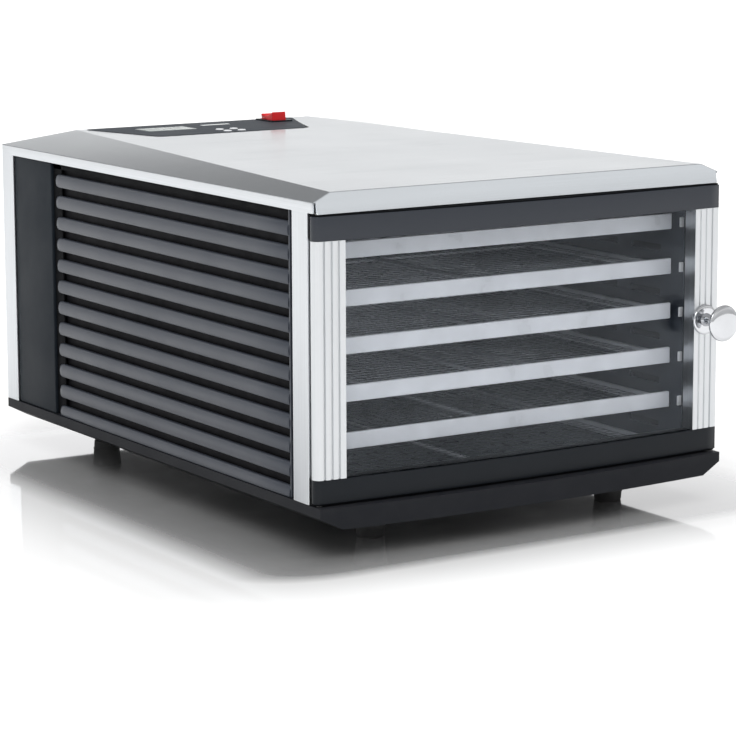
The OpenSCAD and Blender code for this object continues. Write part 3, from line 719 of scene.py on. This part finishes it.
def feet():
    """Four rubber feet with a grip ring underneath."""
    low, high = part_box("feet")
    spread_r = 11.5 * MM
    shape = Shape()
    for x in (low.x + spread_r, high.x - spread_r):
        for y in (low.y + spread_r, high.y - spread_r):
            profile = [(5 * MM, 8 * MM), (5 * MM, 1 * MM), (5.6 * MM, 0.3 * MM), (6.4 * MM, 0),
                       (8.8 * MM, 0), (9.6 * MM, 0.4 * MM), (10 * MM, 1.3 * MM)]
            profile += [(10.3 * MM, 6 * MM), (10.9 * MM, 7 * MM), (10.5 * MM, 8 * MM)]
            profile += [(11.2 * MM, 15 * MM), (11.5 * MM, 18 * MM), (11.5 * MM, 20 * MM)]
            profile += [(5.1 * MM, 20 * MM), (5 * MM, 8 * MM)]
            shape.lathe(profile, (x, y, 0), "z", 48)
    return shape.piece("feet_rubber", "cabinet", [RUBBER], "feet")


# ---------------------------------------------------------------- controls
def display_windows():
    """Two clear windows: the large one shows a pale display in two fields."""
    shape = Shape(ON_TOP)
    low, high = (-69 * MM, 420 * MM), (-24 * MM, 445 * MM)
    frame_r, proud = 1.6 * MM, 0.45 * MM
    shape.slab(rounded(rectangle(*low, *high), frame_r), "z", -1 * MM, proud - 0.12 * MM,
               0.15 * MM, 1)
    field = (low[0] + 2 * MM, low[1] + 2 * MM, high[0] - 2 * MM, high[1] - 2 * MM)
    split = field[1] + 9 * MM
    shape.slab(rounded(rectangle(field[0], split + 0.5 * MM, field[2], field[3]), 0.8 * MM), "z",
               -0.5 * MM, proud, 0.1 * MM, 0)
    shape.slab(rounded(rectangle(field[0], field[1], field[2], split - 0.5 * MM), 0.8 * MM), "z",
               -0.5 * MM, proud, 0.1 * MM, 0)
    shape.slab(rounded(rectangle(-8 * MM, 440 * MM, 18 * MM, 445.5 * MM), 1.2 * MM), "z",
               -1 * MM, proud, 0.15 * MM, 2)
    return shape.piece("display_windows_lens", "cabinet", [LCD, LCD_DARK, LENS], "display_windows")


def segment_digit(shape, x, v, height, lit):
    """Seven-segment digit made of thin bars; lit is a string of its bars, a to g."""
    width, bar, w0, w1 = height * 0.52, height * 0.11, 0.3 * MM, 0.5 * MM
    half = height / 2
    across = {"a": height, "g": half, "d": 0}
    upright = {"b": (width, half), "c": (width, 0), "e": (0, 0), "f": (0, half)}
    for name in lit:
        if name in across:
            box = (x + bar, v + across[name] - bar / 2, x + width - bar, v + across[name] + bar / 2)
        else:
            column, base = upright[name]
            box = (x + column - bar / 2, v + base + bar * 0.7, x + column + bar / 2,
                   v + base + half - bar * 0.7)
        shape.slab(rounded(rectangle(*box), bar * 0.3, 1), "z", w0, w1)


def display_digits():
    """Generic time and temperature figures on the two display fields."""
    shape = Shape(ON_TOP)
    figures = {"0": "abcdef", "1": "bc", "2": "abged", "6": "acdefg"}
    for i, figure in enumerate("12"):
        segment_digit(shape, (-62 + 8 * i) * MM, 434 * MM, 7 * MM, figures[figure])
    for i, figure in enumerate("00"):
        segment_digit(shape, (-44 + 8 * i) * MM, 434 * MM, 7 * MM, figures[figure])
    for i, figure in enumerate("60"):
        segment_digit(shape, (-52 + 7 * i) * MM, 423.6 * MM, 5.5 * MM, figures[figure])
    for v in (435.8 * MM, 438.8 * MM):
        shape.lathe([(0, 0.3 * MM), (0.5 * MM, 0.3 * MM), (0.5 * MM, 0.5 * MM), (0, 0.5 * MM)],
                    (-48.5 * MM, v, 0), "z", 16)
    return shape.piece("display_digits", "cabinet", [LCD_DARK], slot="display_windows")


def push_button(index):
    """Domed key with a rounded rim, on a collar under the panel."""
    node = f"button_{index}"
    low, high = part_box(node)
    centre = (low + high) / 2
    travel = Vector(JOINTS[f"push_{index}_travel"]["axis"])
    shape = Shape(Matrix.Translation((centre.x, centre.y, high.z))
                  @ (-travel).to_track_quat("Z", "Y").to_matrix().to_4x4())
    shape.lathe([(0, -6 * MM), (4.7 * MM, -6 * MM), (4.7 * MM, -4.7 * MM), (3.4 * MM, -4.6 * MM),
                 (3.4 * MM, -0.75 * MM), (3.25 * MM, -0.4 * MM), (2.9 * MM, -0.2 * MM),
                 (2 * MM, -0.1 * MM), (0, -0.03 * MM)], (0, 0, 0), "z", 40)
    return shape.piece(node + "_key", f"push_{index}", [KEY], node)


def rocker():
    """Red rocker with a dished top and soft corners, turning on its axle."""
    lean = TOP_SLOPE - math.radians(8)
    shape = Shape(Matrix.Translation(JOINTS["rocker_tilt"]["pos_m"]) @ Matrix.Rotation(lean, 4, "X"))
    half_l, half_w = 9.3 * MM, 6.5 * MM
    dish = [(half_l - 2 * half_l * k / 16, 8.6 * MM - 2.4 * MM * math.sin(math.pi * k / 16))
            for k in range(17)]
    outline = rounded([(-9.1 * MM, -2.4 * MM), (9.1 * MM, -2.4 * MM)] + dish,
                      [0.5 * MM, 0.5 * MM, 0.8 * MM] + [0] * 15 + [0.8 * MM])
    shape.slab(outline, "x", -half_w, half_w, 0.7 * MM, steps=4)
    axle = arc(0, 0, 1.2 * MM, 0, 360, 24)[:-1]
    shape.slab(axle, "x", -7.8 * MM, 7.8 * MM, 0.2 * MM)
    return shape.piece("rocker_button_cap", "rocker", [RED], "rocker_button")


# ---------------------------------------------------------------- door
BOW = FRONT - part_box("door_top_rail")[0].y
BOW_R = (2 * HALF_W) ** 2 / (8 * BOW)
DOOR_BACK = FRONT + 10 * MM
HINGE_R = 5.2 * MM
GROOVES = (6.6 * MM, 12.3 * MM, 17.8 * MM)
GROOVE_HALF = 0.9 * MM
GROOVE_DEPTH = 1.3 * MM


def bow_y(x, depth=0.0):
    """Front of the bowed door at x, set back by a depth."""
    centre = FRONT - BOW + BOW_R
    return centre - math.sqrt((BOW_R - depth) ** 2 - x * x)


def rail(node, step_at_top):
    """Bowed black rail with a rounded hinge end and a step beside the cabinet painted near-black as a
    shadow gap.
    """
    low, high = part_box(node)
    outline = arc(HINGE_X, HINGE_Y, HINGE_R, 90, 268, 14)
    steps = 40
    x0, x1 = HINGE_X + 1.2 * MM, HALF_W - 0.6 * MM
    outline += [(x0 + (x1 - x0) * i / steps, bow_y(x0 + (x1 - x0) * i / steps))
                for i in range(steps + 1)]
    outline += [(HALF_W, bow_y(HALF_W) + 0.7 * MM), (HALF_W, DOOR_BACK - 0.8 * MM),
                (HALF_W - 0.8 * MM, DOOR_BACK)]
    step = 1.1 * MM
    bottom, top = (low.z, high.z - step) if step_at_top else (low.z + step, high.z)
    shape = Shape()
    shape.slab(outline, "z", bottom, top, 0.5 * MM, steps=4)
    # The inner slab shows at the step in near-black: a painted shadow gap.
    shape.slab(inset(outline, 0.9 * MM), "z", low.z, high.z, 0.2 * MM, paint=1)
    # The top rail takes the lighter painted-light copy of the black plastic, the bottom rail the plain
    # one.
    return shape.piece(node + "_bowed", "door", [LIT_TOP_RAIL_BLACK if step_at_top else BLACK, SHADOW_GAP_BLACK], node,
                       crease=50)


def groove_depth(from_edge):
    """Depth of the ribbed pillar face at a distance from its outer edge."""
    distance = min(abs(from_edge - middle) for middle in GROOVES)
    if distance >= GROOVE_HALF:
        return 0.0
    return GROOVE_DEPTH * (1 - (distance / GROOVE_HALF) ** 1.8)


def pillar(side):
    """Extruded aluminium pillar with three grooves down its bowed face."""
    node = "door_hinge_pillar" if side < 0 else "door_handle_pillar"
    low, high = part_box(node)
    width = 23 * MM
    inner, outer = side * (HALF_W - width), side * HALF_W
    steps = 92
    face = []
    for i in range(steps + 1):
        from_edge = width * i / steps
        x = outer - side * from_edge
        if side < 0 and x < HINGE_X:
            continue
        face.append((x, bow_y(x) + groove_depth(from_edge)))
    if side < 0:
        outline = arc(HINGE_X, HINGE_Y, HINGE_R, 90, 266, 12) + face
    else:
        outline = [(outer, DOOR_BACK), (outer, bow_y(outer) + 0.7 * MM)]
        outline += [p for p in face if p[0] < outer - 0.5 * MM]
    outline += [(inner, DOOR_BACK)]
    shape = Shape()
    shape.slab(outline, "z", low.z, high.z, 0.0)
    return shape.piece(node + "_ribbed", "door", [PILLAR], node, crease=30)


def door_glass():
    """Bowed pane with ground edges."""
    low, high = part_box("door_glass")
    front, thick = 1.6 * MM, 4 * MM
    steps = 32
    xs = [low.x + (high.x - low.x) * i / steps for i in range(steps + 1)]
    outline = [(x, bow_y(x, front)) for x in xs]
    outline += [(x, bow_y(x, front + thick)) for x in reversed(xs)]
    shape = Shape()
    shape.slab(outline, "z", low.z, high.z, 0.4 * MM)
    return shape.piece("door_glass_pane", "door", [GLASS], "door_glass")


def knob():
    """Turned chrome knob: rose, waisted stem and domed head, each a piece of its own."""
    rose_low, rose_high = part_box("knob_rose")
    head_low, head_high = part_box("knob_head")
    x = (rose_low.x + rose_high.x) / 2
    z = (rose_low.z + rose_high.z) / 2
    seat = rose_high.y
    rose_r = (rose_high.x - rose_low.x) / 2
    Shape().lathe([(0, 0), (rose_r - 0.2 * MM, 0), (rose_r, 0.3 * MM), (rose_r, 1.9 * MM),
                   (rose_r - 0.25 * MM, 2.3 * MM), (rose_r - 0.8 * MM, 2.7 * MM),
                   (rose_r - 2 * MM, 2.95 * MM), (5.5 * MM, 3 * MM), (0, 3 * MM)],
                  (x, seat, z), "-y").piece("knob_rose_turned", "door", [CHROME], "knob_rose")
    stem_low, stem_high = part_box("knob_stem")
    length = stem_high.y - stem_low.y
    stem = [(0, 0), (5 * MM, 0)]
    stem += [((5 - 1.1 * math.sin(math.pi * k / 10)) * MM, length * k / 10) for k in range(1, 10)]
    stem += [(5 * MM, length), (0, length)]
    Shape().lathe(stem, (x, stem_high.y, z), "-y").piece(
        "knob_stem_turned", "door", [CHROME], "knob_stem")
    head_r = (head_high.x - head_low.x) / 2
    depth = head_high.y - head_low.y
    rim = 1.4 * MM
    shoulder = 5.6 * MM + rim * math.sin(math.radians(75))
    profile = [(0, 0), (7.1 * MM, 0), (7.6 * MM, 0.1 * MM)]
    profile += arc(head_r - rim, 5.6 * MM, rim, -49, 75, 12)
    profile += [((head_r - rim) * math.cos(math.radians(a)),
                 shoulder + (depth - shoulder) * math.sin(math.radians(a)))
                for a in range(16, 89, 6)]
    profile += [(0, depth)]
    Shape().lathe(profile, (x, head_high.y, z), "-y", 96).piece(
        "knob_head_turned", "door", [CHROME], "knob_head")


# ---------------------------------------------------------------- trays
WIRE_R = 0.25 * MM
WIRE_PITCH = 8 * MM


def tray_mesh(index):
    """Woven wire floor of one tray."""
    node = f"tray_mesh_{index}"
    low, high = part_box(node)
    level = (low.z + high.z) / 2
    counts = [max(2, round((high[i] - low[i]) / WIRE_PITCH)) for i in (0, 1)]
    steps = [(high[i] - low[i]) / counts[i] for i in (0, 1)]
    shape = Shape()
    for axis in (0, 1):
        other = 1 - axis
        for i in range(counts[other] + 1):
            path = []
            for j in range(counts[axis] + 1):
                weave = WIRE_R if (i + j + axis) % 2 else -WIRE_R
                point = [0, 0, level + weave]
                point[axis] = low[axis] + steps[axis] * j
                point[other] = low[other] + steps[other] * i
                path.append(point)
            shape.wire(path, WIRE_R, 4)
    return shape.piece(node + "_woven", f"drawer_{index}", [WIRE], node, crease=80)


def guide_clips(side):
    """Small bright clips on the front edge of one rack, one for each tray."""
    node = "rack_left" if side < 0 else "rack_right"
    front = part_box(node)[0].y
    xs = sorted((side * 150.2 * MM, side * 153.6 * MM))
    shape = Shape()
    for number in range(1, 7):
        low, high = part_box(f"tray_{number}")
        middle = (low.z + high.z) / 2
        shape.block((xs[0], front - 0.6 * MM, middle - 3.6 * MM),
                    (xs[1], front + 0.8 * MM, middle + 3.6 * MM), 0.4 * MM)
    return shape.piece(node + "_clips", "cabinet", [KEY], slot=node)


# ---------------------------------------------------------------- rear and inside
SCREW_MID_Z = 133 * MM


def screw_heads(node):
    """Pan heads with a cross recess on the rear cover's screws."""
    low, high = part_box(node)
    head_r, rise, half_slot, reach = 3.4 * MM, 1.9 * MM, 0.45 * MM, 2 * MM
    cross = [(half_slot, half_slot), (reach, half_slot), (reach, -half_slot),
             (half_slot, -half_slot), (half_slot, -reach), (-half_slot, -reach),
             (-half_slot, -half_slot), (-reach, -half_slot), (-reach, half_slot),
             (-half_slot, half_slot), (-half_slot, reach), (half_slot, reach)]
    heads, slots = Shape(), Shape()
    seat = high.y - rise
    for x in (low.x + head_r, high.x - head_r):
        for z in (low.z + head_r, SCREW_MID_Z, high.z - head_r):
            heads.lathe([(0, -6 * MM), (1.2 * MM, -6 * MM), (1.75 * MM, -5 * MM), (1.75 * MM, 0),
                         (head_r, 0), (head_r, 0.6 * MM), (head_r * 0.93, 1.2 * MM),
                         (head_r * 0.7, 1.65 * MM), (head_r * 0.35, 1.85 * MM), (0, rise)],
                        (x, seat, z), "y", 40)
            slots.slab([(x + u, z + v) for u, v in cross], "y", seat + 0.6 * MM, seat + 3 * MM)
    made = heads.piece(node + "_pan", "cabinet", [PLATED], node)
    carve(made, slots.piece(node + "_cross", "cabinet", [PLATED], slot=node))
    return made


def cord_gland():
    """Ribbed rubber gland with its bore open."""
    low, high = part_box("cord_gland")
    x, z = (low.x + high.x) / 2, (low.z + high.z) / 2
    bore = 3.5 * MM
    length = high.y - low.y
    profile = [(bore, 0.3 * MM), (bore + 0.4 * MM, 0), (8.6 * MM, 0), (9 * MM, 0.4 * MM),
               (9 * MM, 3.9 * MM), (6.5 * MM, 3.9 * MM), (6.5 * MM, 9.6 * MM), (8.6 * MM, 9.6 * MM),
               (9 * MM, 10 * MM), (8.6 * MM, 12.6 * MM), (7.2 * MM, 13 * MM)]
    profile += [(6 * MM, length - 2.4 * MM), (6.3 * MM, length - 1.9 * MM), (6 * MM, length - 0.4 * MM),
                (5.4 * MM, length), (bore + 0.4 * MM, length), (bore, length - 0.4 * MM),
                (bore, 0.3 * MM)]
    shape = Shape()
    shape.lathe(profile, (x, low.y, z), "y", 48)
    return shape.piece("cord_gland_ribbed", "cabinet", [RUBBER], "cord_gland")


def carried_nodes():
    """Gives each CAD node that stays its own material."""
    # The chassis takes the near-black sheet, partly painted shade in the louvre gaps.
    paints = {
        "foot_screws": PLATED, "door_gasket": RUBBER, "liner_floor": LINER, "rack_left": RACK,
        "rack_right": RACK, "chassis": INNER_BLACK_AND_SHADE, "rear_partition": LINER,
        "heating_element": HEATER, "fan_shroud": ZINC, "fan_motor": MOTOR,
        "motor_bracket": ZINC, "terminal_block": IVORY, "control_board": BOARD,
        "hinge_bracket": PLATED, "strike_plate": PLATED, "knob_screw": PLATED,
        "hinge_pins": PLATED, "door_magnet": PAINTED, "fan_blade": BLADE, "fan_shaft": PLATED,
    }
    for node, paint in paints.items():
        for material_slot in frame["nodes"][node].material_slots:
            material_slot.material = paint


# ---------------------------------------------------------------- stage
def grey_stops(ramp, stops):
    """Sets a colour ramp to (position, grey) pairs."""
    while len(ramp.elements) < len(stops):
        ramp.elements.new(0.5)
    for element, (position, grey) in zip(ramp.elements, stops):
        element.position = position
        element.color = (grey, grey, grey, 1)


def floor():
    """Large pale floor, polished near the object and matt further out, soonest at the front."""
    size = 30
    mesh = bpy.data.meshes.new("floor")
    mesh.from_pydata([(-size, -size, 0), (size, -size, 0), (size, size, 0), (-size, size, 0)],
                     [], [(0, 1, 2, 3)])
    made = bpy.data.objects.new("floor", mesh)
    bpy.context.scene.collection.objects.link(made)
    paint = Paint("floor_white", (0.93, 0.93, 0.93), 0.6)
    paint.shader.inputs["Specular IOR Level"].default_value = 0.0
    place = paint.node("SeparateXYZ")
    paint.link(paint.place, place.inputs["Vector"])
    squares = []
    for axis, half, hurry in (("X", HALF_W, 1), ("Y", (REAR - FRONT) / 2, 1.8)):
        offset = paint.maths("ABSOLUTE", place.outputs[axis], 0)
        beyond = paint.maths("MAXIMUM", paint.maths("SUBTRACT", offset, half), 0)
        scaled = paint.maths("MULTIPLY", beyond, hurry)
        squares.append(paint.maths("MULTIPLY", scaled, scaled))
    distance = paint.maths("SQRT", paint.maths("ADD", *squares), 0)
    polish = paint.node("ValToRGB")
    fade = ((0.0, 0.86), (0.045, 0.80), (0.078, 0.42), (0.20, 0.16), (0.40, 0.0))
    grey_stops(polish.color_ramp, fade)
    paint.link(distance, polish.inputs["Fac"])
    mirror = paint.node("BsdfGlossy")
    mirror.inputs["Roughness"].default_value = 0.05
    mirror.inputs["Color"].default_value = (0.96, 0.96, 0.97, 1)
    mixer = paint.node("MixShader")
    paint.link(polish.outputs["Color"], mixer.inputs["Fac"])
    paint.link(paint.shader.outputs["BSDF"], mixer.inputs[1])
    paint.link(mirror.outputs["BSDF"], mixer.inputs[2])
    paint.link(mixer.outputs["Shader"], paint.tree.nodes["Material Output"].inputs["Surface"])
    mesh.materials.append(paint.material)


def world():
    """White behind the object at the horizon, greyer higher up and in front."""
    scene_world = bpy.data.worlds.new("studio")
    bpy.context.scene.world = scene_world
    scene_world.use_nodes = True
    tree = scene_world.node_tree
    direction = tree.nodes.new("ShaderNodeTexCoord").outputs["Generated"]
    split = tree.nodes.new("ShaderNodeSeparateXYZ")
    tree.links.new(direction, split.inputs["Vector"])
    behind = ((0.0, 1.0), (0.20, 1.0), (0.25, 0.29), (0.60, 0.26), (1.0, 0.75))
    ahead = ((0.0, 0.65), (0.15, 0.70), (0.34, 0.95), (0.55, 0.40), (1.0, 0.75))
    ramps = []
    for stops in (ahead, behind):
        ramp = tree.nodes.new("ShaderNodeValToRGB")
        grey_stops(ramp.color_ramp, stops)
        tree.links.new(split.outputs["Z"], ramp.inputs["Fac"])
        ramps.append(ramp.outputs["Color"])
    facing = tree.nodes.new("ShaderNodeMapRange")
    facing.inputs["From Min"].default_value = -0.3
    facing.inputs["From Max"].default_value = 0.3
    tree.links.new(split.outputs["Y"], facing.inputs["Value"])
    mixer = tree.nodes.new("ShaderNodeMix")
    mixer.data_type = "RGBA"
    tree.links.new(facing.outputs["Result"], mixer.inputs["Factor"])
    tree.links.new(ramps[0], mixer.inputs[6])
    tree.links.new(ramps[1], mixer.inputs[7])
    tree.links.new(mixer.outputs[2], tree.nodes["Background"].inputs["Color"])


def aim(light, place, target):
    bpy.context.scene.collection.objects.link(light)
    light.location = place
    light.rotation_mode = "QUATERNION"
    light.rotation_quaternion = (Vector(target) - Vector(place)).to_track_quat("-Z", "Y")
    light.visible_camera = False


def soft_box(name, place, size, power):
    data = bpy.data.lights.new(name, "AREA")
    data.shape = "RECTANGLE"
    data.size, data.size_y = size
    data.energy = power
    aim(bpy.data.objects.new(name, data), place, (0, 0, 0.12))


def studio():
    """Broad light from overhead, unseen in reflections, and two soft boxes on the left."""
    sun = bpy.data.lights.new("overhead", "SUN")
    sun.energy = 2.6
    sun.angle = math.radians(70)
    overhead = bpy.data.objects.new("overhead", sun)
    overhead.visible_glossy = False
    aim(overhead, (-0.3, -0.4, 3), (0, 0, 0))
    soft_box("rear_left", (-1.5, 2.6, 1.7), (1.8, 1.2), 6)
    soft_box("front_left", (-1.7, -2.2, 1.9), (1.2, 1.0), 17)
    bpy.context.scene.view_settings.view_transform = "Standard"


# ---------------------------------------------------------------- assembly
make_camera()
roof()
for side in (-1, 1):
    trim(side)
    side_panel(side)
    pillar(side)
softened("base_pan", 0.7 * MM, BASE)
softened("front_bezel", 0.4 * MM, BLACK)
softened("rocker_frame", 0.3 * MM, BLACK)
softened("rear_cover", 0.2 * MM, PAINTED)
feet()
softened("control_panel", 0.3 * MM, PANEL)
display_windows()
display_digits()
rocker()
for number in range(1, 5):
    push_button(number)
rail("door_top_rail", True)
rail("door_bottom_rail", False)
door_glass()
knob()
for number in range(1, 7):
    softened(f"tray_{number}", 0.5 * MM, TRAY)
    tray_mesh(number)
for side in (-1, 1):
    guide_clips(side)
screw_heads("rear_cover_screws")
cord_gland()
carried_nodes()
floor()
world()
studio()
